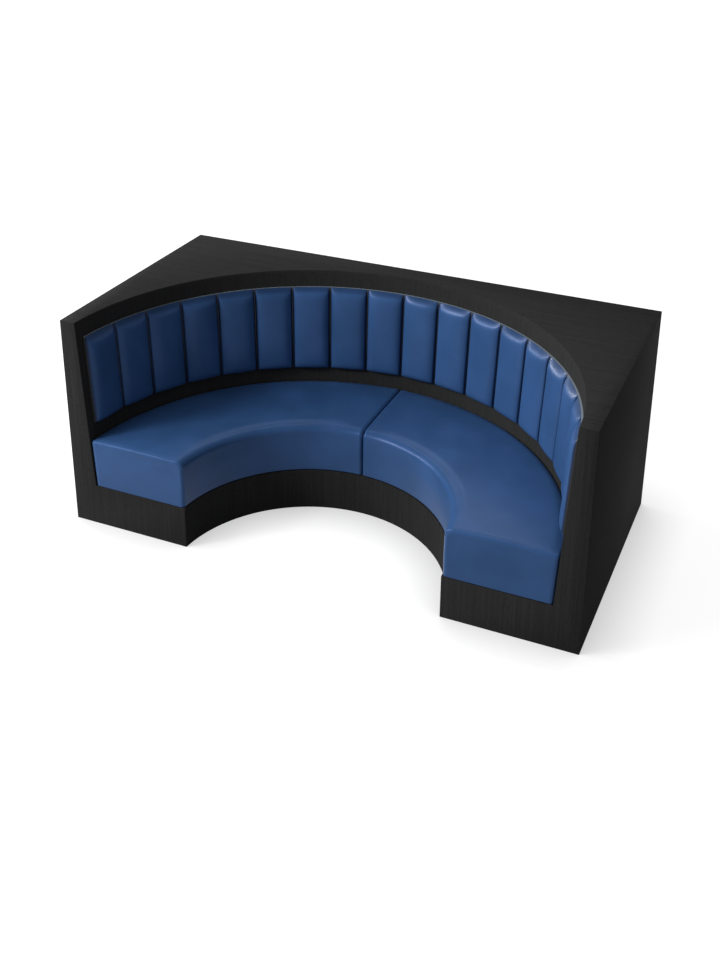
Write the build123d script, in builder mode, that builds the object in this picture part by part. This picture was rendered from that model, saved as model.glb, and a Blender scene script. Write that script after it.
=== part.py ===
from build123d import *
import os
from math import copysign, cos, degrees, pi, radians, sin, tan

os.makedirs("parts", exist_ok=True)

# Curved restaurant booth: a boxed case with a round bay cut into its front, a leaning
# inner wall with a channelled backrest, and two loose quarter-ring seat cushions.
# Millimetres. The origin is on the floor under the middle of the case, +X to the
# right of someone who faces the booth, +Y to its back and +Z up.

# Case
overall_width = 2500
overall_height = 1055
board = 18
seat_height = 457
plinth_height = 208

# Bay and inner wall, round about one upright axis in front of the case; the widths of
# the arms and of the rear, and the depth of the seat, are those at the height of the seat
axis_ahead = 35
arm_width = 110
rear_width = 150
seat_depth = 505
plinth_thickness = 18
wall_lean = 3.05
lining = 9

# Inner framing
post_width = 40
ledger_width = 20
ledger_height = 40
rib_thickness = 18
middle_rib_thickness = 36
rib_angles = [12, 38, 64, 90, 116, 142, 168]
plate_thickness = 18
stud_depth = 45
stud_thickness = 18
stud_angles = [8, 28, 49, 69.5, 90, 110.5, 131, 152, 172]

# Backrest
channel_count = 18
backrest_angle = 172
backrest_bottom = 529
backrest_top = 968
backing_board = 9
backing_border = 3
pad_thickness = 30
pad_gap = 1
soft_gap = 0.3
pad_corner = 7

# Seat cushions
cushion_setback = 8
cushion_bulge = 5
cushion_roll = 42
cushion_crown = 5
cushion_back_roll = 12
cushion_wall_gap = 2
cushion_joint_gap = 2
cushion_front_gap = 2
cushion_end_round = 11
seat_base = 12

# Hook and loop strips between the deck and the cushions
strip_thickness = 1.5
strip_length = 180
strip_width = 25
strip_gap = 0.3
strip_angles = [20, 45, 70]

# Pad sections from the bottom end to the top: place up the pad, thickness there and
# how much of the rounded corner is taken off each side, all as shares
pad_section_shares = [
    (0.000, 0.36, 1.00),
    (0.015, 0.56, 0.50),
    (0.040, 0.80, 0.15),
    (0.080, 1.00, 0.00),
    (0.780, 1.00, 0.00),
    (0.860, 0.94, 0.00),
    (0.920, 0.82, 0.05),
    (0.960, 0.66, 0.20),
    (0.985, 0.48, 0.50),
    (1.000, 0.28, 1.00),
]
pad_side_share = 0.38
pad_roundness_share = 0.57
pad_front_steps = 8
pad_back_steps = 2
roll_steps = 4
crown_steps = 4
end_round_steps = 3
straight_angle = 180
right_angle = 90
mitre_angle = 45

# Sizes and places worked out from the values above
wall_radius_at_seat = overall_width / 2 - arm_width
bay_radius = wall_radius_at_seat - seat_depth
overall_depth = wall_radius_at_seat + rear_width - axis_ahead
front_y = -overall_depth / 2
back_y = overall_depth / 2
side_x = overall_width / 2
axis_y = front_y - axis_ahead
inner_front_y = front_y + board
inner_back_y = back_y - board
inner_side_x = side_x - board
inner_top = overall_height - board
deck_top = plinth_height
deck_bottom = deck_top - board
deck_radius = bay_radius + plinth_thickness
channel_step = backrest_angle / channel_count
backrest_start = (straight_angle - backrest_angle) / 2
cushion_bottom = deck_top + 2 * strip_thickness + strip_gap
cushion_edge_top = seat_height - cushion_crown
strip_radius = bay_radius + seat_depth / 2
bay_axis = Axis((0, axis_y, 0), (0, 0, 1))


def wall_radius(height):
    """Radius of the leaning inner wall at a height above the floor."""
    return wall_radius_at_seat + (height - seat_height) * tan(radians(wall_lean))


def around(radius, angle):
    """Point on the floor plan at a radius and angle about the axis of the bay."""
    return (radius * cos(radians(angle)), axis_y + radius * sin(radians(angle)))


def radial_plane(angle):
    """Upright plane through the axis of the bay: its x runs outwards and its y runs up."""
    outwards = (cos(radians(angle)), sin(radians(angle)), 0)
    across = (sin(radians(angle)), -cos(radians(angle)), 0)
    return Plane(origin=(0, axis_y, 0), x_dir=outwards, z_dir=across)


def spin_profile(points, start=0, sweep=straight_angle, mode=Mode.ADD):
    """Turn a profile, given as radius and height, about the axis of the bay."""
    with BuildSketch(radial_plane(start)) as profile:
        with BuildLine():
            Polyline(*points, close=True)
        make_face()
    revolve(profile.sketch, axis=bay_axis, revolution_arc=sweep, mode=mode)


def leaning_profile(inner, outer, bottom, top):
    """Profile of a ring that leans with the wall, at set distances behind its face."""
    return [
        (wall_radius(bottom) + inner, bottom),
        (wall_radius(bottom) + outer, bottom),
        (wall_radius(top) + outer, top),
        (wall_radius(top) + inner, top),
    ]


def keep_beyond(origin, direction):
    """Cut the part by a plane and keep what lies on the side that direction points to."""
    split(bisect_by=Plane(origin=origin, z_dir=direction), keep=Keep.TOP)


def cut_seating_space():
    """Take away the bay below the plinth's top and the leaning bowl above it."""
    spin_profile(
        [
            (0, 0),
            (bay_radius, 0),
            (bay_radius, plinth_height),
            (wall_radius(plinth_height), plinth_height),
            (wall_radius(overall_height), overall_height),
            (0, overall_height),
        ],
        start=-straight_angle / 2,
        sweep=2 * straight_angle,
        mode=Mode.SUBTRACT,
    )


def upright_block(x_range, y_range, bottom, top, mode=Mode.ADD):
    """Rectangular block between two heights."""
    with BuildSketch(Plane.XY.offset(bottom)) as outline:
        with Locations(((x_range[0] + x_range[1]) / 2, (y_range[0] + y_range[1]) / 2)):
            Rectangle(x_range[1] - x_range[0], y_range[1] - y_range[0])
    extrude(outline.sketch, amount=top - bottom, mode=mode)


def write(piece, name):
    """Label a finished piece and write it under its own name."""
    piece.part.label = name
    export_step(piece.part, f"parts/{name}.step")


def side_panel(side):
    """Left (-1) or right (1) side of the case."""
    x_range = sorted((side * inner_side_x, side * side_x))
    with BuildPart() as panel:
        upright_block(x_range, (front_y, back_y), 0, overall_height)
        keep_beyond((side * side_x, front_y, 0), (side, 1, 0))
        keep_beyond((side * side_x, back_y, 0), (side, -1, 0))
        keep_beyond((side * side_x, 0, overall_height), (side, 0, -1))
    return panel


def front_panel(side):
    """Arm front and plinth end in one board, left (-1) or right (1)."""
    x_range = sorted((0, side * side_x))
    with BuildPart() as panel:
        upright_block(x_range, (front_y, inner_front_y), 0, overall_height)
        cut_seating_space()
        keep_beyond((side * side_x, front_y, 0), (-side, -1, 0))
        keep_beyond((0, front_y, overall_height), (0, -1, -1))
    return panel


def corner_post(side, near_y):
    """Square post in a corner of the case, from the floor to the top panel."""
    x_range = sorted((side * inner_side_x, side * (inner_side_x - post_width)))
    with BuildPart() as post:
        upright_block(x_range, (near_y, near_y + post_width), 0, inner_top)
    return post


def angles_on(side, angles):
    """The angles that lie on the left (-1), on the right (1) or in the middle (0)."""
    return [angle for angle in angles if (angle < right_angle) - (angle > right_angle) == side]


def seat_deck(side):
    """Half of the board that carries the cushions and the inner wall."""
    x_range = sorted((0, side * inner_side_x))
    post_range = sorted((side * inner_side_x, side * (inner_side_x - post_width)))
    with BuildPart() as deck:
        upright_block(x_range, (inner_front_y, inner_back_y), deck_bottom, deck_top)
        with BuildSketch(Plane.XY.offset(deck_bottom)):
            with Locations((0, axis_y)):
                Circle(deck_radius)
        extrude(amount=board, mode=Mode.SUBTRACT)
        for near_y in (inner_front_y, inner_back_y - post_width):
            upright_block(post_range, (near_y, near_y + post_width), deck_bottom, deck_top, Mode.SUBTRACT)
    return deck


def base_ribs(side):
    """Upright ribs under the deck, from the plinth board out to the ledgers."""
    with BuildPart() as ribs:
        for angle in angles_on(side, rib_angles):
            with BuildSketch(radial_plane(angle)) as outline:
                with Locations((deck_radius, 0)):
                    Rectangle(overall_width, deck_bottom, align=(Align.MIN, Align.MIN))
            extrude(outline.sketch, amount=(rib_thickness if side else middle_rib_thickness) / 2, both=True)
        inside_x = inner_side_x - ledger_width
        upright_block((-inside_x, inside_x), (inner_front_y, inner_back_y - ledger_width), 0, deck_bottom,
                      Mode.INTERSECT)
    return ribs


def side_ledger(side):
    """Batten under the edge of the deck along one side of the case."""
    x_range = sorted((side * inner_side_x, side * (inner_side_x - ledger_width)))
    with BuildPart() as ledger:
        upright_block(x_range, (inner_front_y + post_width, inner_back_y - post_width),
                      deck_bottom - ledger_height, deck_bottom)
    return ledger


def curved_plate(side, bottom):
    """Quarter of a flat ring behind the inner wall, for the feet or the heads of the studs."""
    with BuildPart() as plate:
        profile = leaning_profile(lining, lining + stud_depth, bottom, bottom + plate_thickness)
        spin_profile(profile, start=0 if side > 0 else right_angle, sweep=right_angle)
        keep_beyond((0, inner_front_y + post_width, 0), (0, 1, 0))
    return plate


def wall_studs(side):
    """Leaning studs between the plates, one set for each side and one for the middle."""
    with BuildPart() as studs:
        for angle in angles_on(side, stud_angles):
            profile = leaning_profile(lining, lining + stud_depth, deck_top + plate_thickness,
                                      inner_top - plate_thickness)
            with BuildSketch(radial_plane(angle)) as outline:
                with BuildLine():
                    Polyline(*profile, close=True)
                make_face()
            extrude(outline.sketch, amount=stud_thickness / 2, both=True)
    return studs


def backing_half(side):
    """Half of the thin bent board that the channel pads are fixed to."""
    border_turn = degrees(backing_border / wall_radius(backrest_bottom))
    sweep = backrest_angle / 2 + border_turn
    with BuildPart() as backing:
        profile = leaning_profile(-backing_board, 0, backrest_bottom - backing_border,
                                  backrest_top + backing_border)
        spin_profile(profile, start=right_angle - sweep if side > 0 else right_angle, sweep=sweep)
    return backing


def pad_outline(height, thickness, corner, start):
    """Level section of one channel pad: back on the board, flat-fronted pillow before it."""
    back = wall_radius(height) - backing_board - soft_gap
    middle = start + channel_step / 2
    half = channel_step / 2 - degrees((pad_gap / 2 + corner) / back)
    points = []
    for step in range(pad_back_steps + 1):
        points.append(around(back, middle + half * (2 * step / pad_back_steps - 1)))
    for step in range(pad_front_steps + 1):
        turn = pi * step / pad_front_steps
        across = copysign(abs(cos(turn)) ** pad_roundness_share, cos(turn))
        swell = abs(sin(turn)) ** pad_roundness_share
        depth = thickness * (pad_side_share + (1 - pad_side_share) * swell)
        points.append(around(back - depth, middle + half * across))
    with BuildSketch(Plane.XY.offset(height)) as section:
        with BuildLine():
            Polyline(*points, close=True)
        make_face()
    return section.sketch


def channel_pad(number):
    """One upholstered channel of the backrest, counted from the right-hand end."""
    start = backrest_start + channel_step * number
    sections = []
    for place, thickness, corner in pad_section_shares:
        height = backrest_bottom + (backrest_top - backrest_bottom) * place
        sections.append(pad_outline(height, pad_thickness * thickness, pad_corner * corner, start))
    with BuildPart() as pad:
        loft(sections, ruled=True)
    return pad


def quarter_roll(centre, radius, start, steps):
    """Points of a rounded corner, clockwise from a start angle through a quarter turn."""
    turns = [radians(start - right_angle * step / steps) for step in range(steps + 1)]
    return [(centre[0] + radius * cos(turn), centre[1] + radius * sin(turn)) for turn in turns]


def cushion_profile():
    """Section of a seat cushion and its base board, across the depth of the seat."""
    front = bay_radius + cushion_setback
    back_foot = wall_radius(cushion_bottom) - cushion_wall_gap
    back_top = wall_radius(cushion_edge_top) - cushion_wall_gap
    rise = cushion_edge_top - cushion_roll - cushion_bottom
    reach = back_top - cushion_back_roll - front - cushion_roll
    points = [(back_foot, cushion_bottom), (front, cushion_bottom)]
    for step in range(1, crown_steps):
        swell = cushion_bulge * sin(pi * step / crown_steps)
        points.append((front - swell, cushion_bottom + rise * step / crown_steps))
    front_centre = (front + cushion_roll, cushion_edge_top - cushion_roll)
    points += quarter_roll(front_centre, cushion_roll, straight_angle, roll_steps)
    for step in range(1, crown_steps):
        swell = cushion_crown * sin(pi * step / crown_steps)
        points.append((front + cushion_roll + reach * step / crown_steps, cushion_edge_top + swell))
    back_centre = (back_top - cushion_back_roll, cushion_edge_top - cushion_back_roll)
    points += quarter_roll(back_centre, cushion_back_roll, right_angle, roll_steps // 2)
    return points


def cushion_form(side):
    """Seat cushion of one side with its base board, rounded over at both ends."""
    middle_x = side * cushion_joint_gap / 2
    end_y = front_y + cushion_front_gap
    with BuildPart() as form:
        spin_profile(cushion_profile())
        keep_beyond((middle_x, 0, 0), (side, 0, 0))
        keep_beyond((0, end_y, 0), (0, 1, 0))
        for step in range(1, end_round_steps):
            turn = radians(right_angle * step / end_round_steps)
            inwards = cushion_end_round * (1 - cos(turn))
            height = cushion_edge_top - cushion_end_round * (1 - sin(turn))
            keep_beyond((middle_x + side * inwards, 0, height), (side * cos(turn), 0, -sin(turn)))
            keep_beyond((0, end_y + inwards, height), (0, cos(turn), -sin(turn)))
    return form


def seat_pieces(side):
    """Upholstered foam and base board of one seat cushion."""
    form = cushion_form(side)
    base_top = Plane.XY.offset(cushion_bottom + seat_base)
    with BuildPart() as cushion:
        add(form.part)
        split(bisect_by=base_top, keep=Keep.TOP)
    with BuildPart() as base:
        add(form.part)
        split(bisect_by=base_top, keep=Keep.BOTTOM)
    return cushion, base


def fastening_strips(sides, bottom):
    """Short strips at one level, under the cushions or on the deck."""
    with BuildPart() as strips:
        with BuildSketch(Plane.XY.offset(bottom)) as outline:
            for side in sides:
                for angle in strip_angles:
                    turn = angle if side > 0 else straight_angle - angle
                    with Locations(Location((*around(strip_radius, turn), 0), (0, 0, turn))):
                        Rectangle(strip_width, strip_length)
        extrude(outline.sketch, amount=strip_thickness)
    return strips


# Case panels, mitred along every outer edge so that no board edge shows
with BuildPart() as top_panel:
    with BuildSketch(Plane.XY.offset(overall_height)):
        Rectangle(overall_width, overall_depth)
    extrude(amount=-board, taper=mitre_angle)
    cut_seating_space()
write(top_panel, "top_panel")

with BuildPart() as back_panel:
    upright_block((-side_x, side_x), (inner_back_y, back_y), 0, overall_height)
    keep_beyond((-side_x, back_y, 0), (1, 1, 0))
    keep_beyond((side_x, back_y, 0), (-1, 1, 0))
    keep_beyond((0, back_y, overall_height), (0, 1, -1))
write(back_panel, "back_panel")

with BuildPart() as plinth_board:
    spin_profile([(bay_radius, 0), (deck_radius, 0), (deck_radius, deck_top), (bay_radius, deck_top)])
    keep_beyond((0, inner_front_y, 0), (0, 1, 0))
write(plinth_board, "plinth_board")

with BuildPart() as wall_lining:
    spin_profile(leaning_profile(0, lining, deck_top, inner_top))
    keep_beyond((0, inner_front_y, 0), (0, 1, 0))
write(wall_lining, "wall_lining")

with BuildPart() as ledger_back:
    reach = inner_side_x - post_width
    upright_block((-reach, reach), (inner_back_y - ledger_width, inner_back_y),
                  deck_bottom - ledger_height, deck_bottom)
write(ledger_back, "ledger_back")

for side, name in ((-1, "left"), (1, "right")):
    write(side_panel(side), f"{name}_side_panel")
    write(front_panel(side), f"{name}_front_panel")
    write(corner_post(side, inner_front_y), f"front_post_{name}")
    write(corner_post(side, inner_back_y - post_width), f"back_post_{name}")
    write(side_ledger(side), f"ledger_{name}")
    write(base_ribs(side), f"base_ribs_{name}")
    write(seat_deck(side), f"seat_deck_{name}")
    write(curved_plate(side, deck_top), f"bottom_plate_{name}")
    write(curved_plate(side, inner_top - plate_thickness), f"top_plate_{name}")
    write(wall_studs(side), f"wall_studs_{name}")
    write(backing_half(side), f"backing_board_{name}")
    cushion, base = seat_pieces(side)
    write(cushion, f"seat_cushion_{name}")
    write(base, f"seat_base_{name}")
    write(fastening_strips([side], cushion_bottom - strip_thickness), f"loop_strips_{name}")

write(base_ribs(0), "base_rib_centre")
write(wall_studs(0), "wall_stud_centre")
write(fastening_strips([-1, 1], deck_top), "hook_strips")

for number in range(channel_count):
    write(channel_pad(number), f"channel_pad_{number + 1:02d}")
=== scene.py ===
"""Curved restaurant booth, dressed for a studio picture.

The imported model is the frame: every new piece stands where its CAD node stands, in metres, with
the origin on the floor under the middle of the case, +X to the right, +Y to the back and +Z up.
"""

import logging
import math
from contextlib import contextmanager
from dataclasses import dataclass
from enum import Enum
from typing import Callable, Iterator, Sequence

import bpy
from mathutils import Matrix, Vector, noise


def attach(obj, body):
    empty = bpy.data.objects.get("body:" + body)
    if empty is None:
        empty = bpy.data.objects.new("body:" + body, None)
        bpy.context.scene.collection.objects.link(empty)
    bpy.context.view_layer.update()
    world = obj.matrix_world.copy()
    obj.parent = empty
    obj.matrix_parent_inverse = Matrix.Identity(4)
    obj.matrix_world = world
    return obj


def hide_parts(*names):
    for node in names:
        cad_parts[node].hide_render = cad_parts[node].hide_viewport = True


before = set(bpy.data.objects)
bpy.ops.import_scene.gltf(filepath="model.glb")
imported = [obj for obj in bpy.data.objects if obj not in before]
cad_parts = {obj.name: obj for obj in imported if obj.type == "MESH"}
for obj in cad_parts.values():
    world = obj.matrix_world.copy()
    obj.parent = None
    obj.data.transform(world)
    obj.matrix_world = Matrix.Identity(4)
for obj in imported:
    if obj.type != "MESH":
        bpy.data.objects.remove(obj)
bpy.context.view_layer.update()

log = logging.getLogger("booth")

PAINTED_SHADE = "tucked"  # share of painted shade on a pad, in its seams and over its top strip, from 0 to 1
TOUCHING = 1e-5  # points closer than this, in metres, are taken as one
OVERRUN = 2.0  # degrees that a spun ring runs past the place where it is trimmed


class Side(Enum):
    """Left or right of the booth, as seen by someone who faces it."""

    LEFT = -1
    RIGHT = 1

    @property
    def word(self) -> str:
        """The side's name in the names of the pieces."""
        return self.name.lower()


class Grain(Enum):
    """Direction in which the grain of a board runs."""

    UPRIGHT = (0, 0, 1)
    LENGTHWISE = (1, 0, 0)
    CROSSWISE = (0, 1, 0)


class BoardLay(Enum):
    """How a sheet of plywood lies, which says where its layers show."""

    FLAT = 2
    UPRIGHT = 0


@dataclass(frozen=True)
class BoothPlan:
    """Sizes of the booth in metres, the same as in the CAD model."""

    width: float = 2.5
    depth: float = 1.255
    height: float = 1.055
    board: float = 0.018
    seat_height: float = 0.457
    plinth_height: float = 0.208
    axis_ahead: float = 0.035
    wall_radius_at_seat: float = 1.14
    bay_radius: float = 0.635
    wall_lean: float = 3.05
    lining: float = 0.009
    backing: float = 0.009
    backrest_bottom: float = 0.529
    backrest_top: float = 0.968
    backrest_angle: float = 172.0
    channels: int = 18

    @property
    def front(self) -> float:
        """Place of the front faces along Y."""
        return -self.depth / 2

    @property
    def side(self) -> float:
        """Place of the right-hand side along X."""
        return self.width / 2

    @property
    def axis(self) -> Vector:
        """Foot of the upright axis of the bay."""
        return Vector((0, self.front - self.axis_ahead, 0))

    def wall_radius(self, height: float) -> float:
        """Radius of the leaning inner wall at a height."""
        lean = math.tan(math.radians(self.wall_lean))
        return self.wall_radius_at_seat + (height - self.seat_height) * lean

    def around(self, radius: float, angle: float, height: float) -> Vector:
        """Point at a radius and an angle in radians about the axis of the bay."""
        return self.axis + Vector((radius * math.cos(angle), radius * math.sin(angle), height))

    def directions(self, point: Vector) -> tuple[Vector, Vector, Vector]:
        """Find the directions away from the axis of the bay, along its arc and up.

        Args:
            point: Point on a piece in the bay.

        Returns:
            The three directions there.
        """
        away = point - self.axis
        away.z = 0
        away.normalize()
        return away, Vector((-away.y, away.x, 0)), Vector((0, 0, 1))

    def half_sweep(self, side: Side, start: float = 0.0) -> tuple[float, float]:
        """Sweep of a ring round one half of the bay, run past both ends for trimming.

        Args:
            side: Side of the booth.
            start: Where the ring starts, in degrees from the front of the bay.

        Returns:
            First and last angle in degrees.
        """
        if side is Side.RIGHT:
            return start - OVERRUN, 90 + OVERRUN
        return 90 - OVERRUN, 180 - start + OVERRUN


# Small tools


def linear(hex_colour: str) -> tuple[float, float, float, float]:
    """Turn an sRGB hex colour into linear RGBA.

    Args:
        hex_colour: Colour such as "#1c1b1a".

    Returns:
        Linear red, green and blue, and an alpha of one.
    """
    parts = [int(hex_colour[place:place + 2], 16) / 255 for place in (1, 3, 5)]
    turned = [part / 12.92 if part <= 0.04045 else ((part + 0.055) / 1.055) ** 2.4 for part in parts]
    return (turned[0], turned[1], turned[2], 1.0)


def add_node(tree: bpy.types.NodeTree, kind: str, settings: dict | None = None,
             links: dict | None = None) -> bpy.types.Node:
    """Add a node with its settings and links.

    Args:
        tree: Node tree that takes the node.
        kind: Node type.
        settings: Values by attribute name, or by input name or number.
        links: Output sockets by input name or number.

    Returns:
        The new node.
    """
    node = tree.nodes.new(kind)
    for name, value in (settings or {}).items():
        if isinstance(name, str) and hasattr(node, name):
            setattr(node, name, value)
        else:
            node.inputs[name].default_value = value
    for name, socket in (links or {}).items():
        tree.links.new(socket, node.inputs[name])
    return node


def new_material(name: str) -> tuple[bpy.types.Material, bpy.types.NodeTree]:
    """Make a material with an empty node tree.

    Args:
        name: Name of the finish.

    Returns:
        The material and its node tree.
    """
    material = bpy.data.materials.new(name)
    material.use_nodes = True
    material.node_tree.nodes.clear()
    return material, material.node_tree


def close_surface(tree: bpy.types.NodeTree, shader: bpy.types.NodeSocket) -> None:
    """Link the shader of a finished surface to a new material output."""
    add_node(tree, "ShaderNodeOutputMaterial", links={"Surface": shader})


def only(piece: bpy.types.Object) -> None:
    """Select one object alone and make it the active one.

    Args:
        piece: Object to select.
    """
    bpy.ops.object.select_all(action="DESELECT")
    piece.select_set(True)
    bpy.context.view_layer.objects.active = piece


@contextmanager
def editing(piece: bpy.types.Object, mode: str = "FACE") -> Iterator[None]:
    """Hold a piece in edit mode.

    Args:
        piece: Object to edit.
        mode: Kind of element that is selected.
    """
    only(piece)
    bpy.ops.object.mode_set(mode="EDIT")
    bpy.ops.mesh.select_mode(type=mode)
    yield
    bpy.ops.object.mode_set(mode="OBJECT")


def named(name: str) -> bpy.types.Object:
    """Name the object that was just added, and settle its place into its mesh.

    Args:
        name: Name of the piece.

    Returns:
        The object, at the origin and unscaled.
    """
    piece = bpy.context.object
    piece.name = name
    piece.data.name = name
    bpy.ops.object.transform_apply(location=True, rotation=True, scale=True)
    return piece


def block(name: str, low: Sequence[float], high: Sequence[float]) -> bpy.types.Object:
    """Add a board-shaped block between two corners.

    Args:
        name: Name of the piece.
        low: Lowest corner.
        high: Highest corner.

    Returns:
        The block.
    """
    bpy.ops.object.select_all(action="DESELECT")
    corners = Vector(low), Vector(high)
    bpy.ops.mesh.primitive_cube_add(size=1, location=(corners[0] + corners[1]) / 2,
                                    scale=corners[1] - corners[0])
    return named(name)


def trim(piece: bpy.types.Object, point: Sequence[float], outwards: Sequence[float]) -> None:
    """Saw a piece off along a plane and close the cut.

    Args:
        piece: Piece to cut.
        point: Point on the plane.
        outwards: Side of the plane that is taken away.
    """
    with editing(piece):
        bpy.ops.mesh.select_all(action="SELECT")
        bpy.ops.mesh.bisect(plane_co=point, plane_no=outwards, use_fill=True, clear_outer=True)


def ease(piece: bpy.types.Object, corner: Sequence[float], faces: Sequence[Sequence[float]],
         radius: float = 0.0014, cuts: int = 3) -> None:
    """Round an outer corner with plane cuts, so that two mitred boards share one rounding.

    Args:
        piece: Board to cut.
        corner: Point on the sharp corner line.
        faces: Outward directions of the two faces that meet there.
        radius: Radius of the rounding.
        cuts: Number of small facets.
    """
    first, second = (Vector(face) for face in faces)
    centre = Vector(corner) - radius * (first + second)
    for step in range(1, cuts + 1):
        turn = math.pi / 2 * step / (cuts + 1)
        outwards = first * math.cos(turn) + second * math.sin(turn)
        trim(piece, centre + radius * outwards, outwards)


def mitre(piece: bpy.types.Object, edge: Sequence[float], face: Sequence[float],
          beside: Sequence[float]) -> None:
    """Saw a mitre along an edge where a board's face meets the one beside it, and ease it."""
    trim(piece, edge, Vector(beside) - Vector(face))
    ease(piece, edge, (face, beside))


def bevel_where(piece: bpy.types.Object, test: Callable[[Vector, Vector], bool], offset: float,
                segments: int = 2) -> None:
    """Bevel the edges that pass a test.

    Args:
        piece: Piece to bevel.
        test: Says from an edge's two ends whether it is bevelled.
        offset: Width of the bevel.
        segments: Number of steps in it.
    """
    mesh = piece.data
    for part in (*mesh.polygons, *mesh.vertices):
        part.select = False
    for edge in mesh.edges:
        edge.select = test(*(mesh.vertices[end].co for end in edge.vertices))
    with editing(piece, "EDGE"):
        bpy.ops.mesh.bevel(offset=offset, segments=segments, affect="EDGES", clamp_overlap=True)


def carve(piece: bpy.types.Object, cutter: bpy.types.Object) -> None:
    """Take the space of one object out of another.

    Args:
        piece: Piece to carve.
        cutter: Object whose space is taken out.
    """
    only(piece)
    cut = piece.modifiers.new("cut", "BOOLEAN")
    cut.operation = "DIFFERENCE"
    cut.solver = "EXACT"
    cut.object = cutter
    bpy.ops.object.modifier_apply(modifier=cut.name)


def spun(name: str, plan: BoothPlan, corners: Sequence[tuple[float, float]],
         sweep: tuple[float, float], steps: int) -> bpy.types.Object:
    """Spin a four-cornered section about the axis of the bay.

    Args:
        name: Name of the piece.
        plan: Sizes of the booth.
        corners: Radius and height of the four corners, in order round the section.
        sweep: First and last angle in degrees.
        steps: Number of steps of the spin.

    Returns:
        The ring, whose two ends are still to be trimmed.
    """
    bpy.ops.object.select_all(action="DESELECT")
    bpy.ops.mesh.primitive_plane_add(size=1, location=plan.axis)
    ring = named(name)
    start = math.radians(sweep[0])
    for number, (radius, height) in zip((0, 1, 3, 2), corners):
        ring.data.vertices[number].co = plan.around(radius, start, height)
    with editing(ring):
        bpy.ops.mesh.select_all(action="SELECT")
        bpy.ops.mesh.spin(steps=steps, angle=math.radians(sweep[1] - sweep[0]), center=plan.axis,
                          axis=(0, 0, -1))
    face_out(ring)
    return ring


def face_out(piece: bpy.types.Object) -> None:
    """Merge doubled points and turn every face outwards.

    Args:
        piece: Closed mesh.
    """
    with editing(piece, "VERT"):
        bpy.ops.mesh.select_all(action="SELECT")
        bpy.ops.mesh.remove_doubles(threshold=TOUCHING)
        bpy.ops.mesh.normals_make_consistent(inside=False)


def smooth(piece: bpy.types.Object, degrees: float = 30) -> None:
    """Shade a piece smooth, with edges sharper than an angle kept sharp."""
    only(piece)
    bpy.ops.object.shade_smooth_by_angle(angle=math.radians(degrees))


def dress(piece: bpy.types.Object, material: bpy.types.Material, body: str,
          stands_for: Sequence[str] = ()) -> None:
    """Give a finished piece its material, its body and the CAD nodes that it stands for.

    Args:
        piece: Finished piece.
        material: Its finish.
        body: CAD body that it rides on.
        stands_for: CAD nodes that it replaces.
    """
    piece.data.materials.clear()
    piece.data.materials.append(material)
    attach(piece, body)
    if stands_for:
        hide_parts(*stands_for)
    log.info("%s: %d faces on %s", piece.name, len(piece.data.polygons), body)


# Finishes


@dataclass(frozen=True)
class StainedVeneer:
    """Oak veneer, sliced and laid on board, stained black under a matt lacquer.

    The stain hides the colour of the wood, so the eye finds only faint streaks of the figure and
    short open pores along the grain, and a dull sheen.
    """

    deep: str = "#282828"
    raised: str = "#2e2e2e"
    streak_width: float = 0.009
    streak_length: float = 0.5
    pore_width: float = 0.0014  # real pores are 0.3 mm wide, drawn wider so that they show
    pore_length: float = 0.022
    pore_colour: str = "#0a0a0a"
    pore_stain: float = 0.35
    pore_relief: float = 0.35
    pore_depth: float = 0.0003
    streak_range: tuple[float, float] = (0.35, 0.7)
    pore_range: tuple[float, float] = (0.58, 0.68)
    roughness: tuple[float, float] = (0.65, 0.77)
    specular: float = 0.01

    def make(self, grain: Grain) -> bpy.types.Material:
        """Make the finish for one direction of the grain.

        Args:
            grain: Direction that the grain runs in.

        Returns:
            The material.
        """
        material, tree = new_material(f"black_stained_oak_{grain.name.lower()}")
        place = add_node(tree, "ShaderNodeTexCoord").outputs["Object"]
        figures, masks = [], []
        for width, length, detail, span in (
                (self.streak_width, self.streak_length, 3, self.streak_range),
                (self.pore_width, self.pore_length, 1, self.pore_range)):
            scale = [1 / (length if along else width) for along in grain.value]
            mapped = add_node(tree, "ShaderNodeMapping", {"Scale": scale}, {"Vector": place})
            figures.append(add_node(tree, "ShaderNodeTexNoise", {"Scale": 1.0, "Detail": detail},
                                    {"Vector": mapped.outputs[0]}).outputs[0])
            masks.append(add_node(tree, "ShaderNodeMapRange", {"From Min": span[0], "From Max": span[1]},
                                  {"Value": figures[-1]}).outputs[0])
        streaks, pores = masks
        colour = add_node(tree, "ShaderNodeMix", {"data_type": "RGBA", 6: linear(self.deep),
                                                  7: linear(self.raised)}, {0: streaks}).outputs[2]
        stained = add_node(tree, "ShaderNodeMath", {"operation": "MULTIPLY", 1: self.pore_stain},
                           {0: pores}).outputs[0]
        darker = add_node(tree, "ShaderNodeMix", {"data_type": "RGBA", 7: linear(self.pore_colour)},
                          {0: stained, 6: colour}).outputs[2]
        rough = add_node(tree, "ShaderNodeMapRange", {"To Min": self.roughness[0],
                                                      "To Max": self.roughness[1]},
                         {"Value": figures[0]}).outputs[0]
        sunk = add_node(tree, "ShaderNodeBump", {"invert": True, "Strength": self.pore_relief,
                                                 "Distance": self.pore_depth},
                        {"Height": pores}).outputs[0]
        skin = add_node(tree, "ShaderNodeBsdfPrincipled", {"Specular IOR Level": self.specular},
                        {"Base Color": darker, "Roughness": rough, "Normal": sunk})
        close_surface(tree, skin.outputs[0])
        return material


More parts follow.
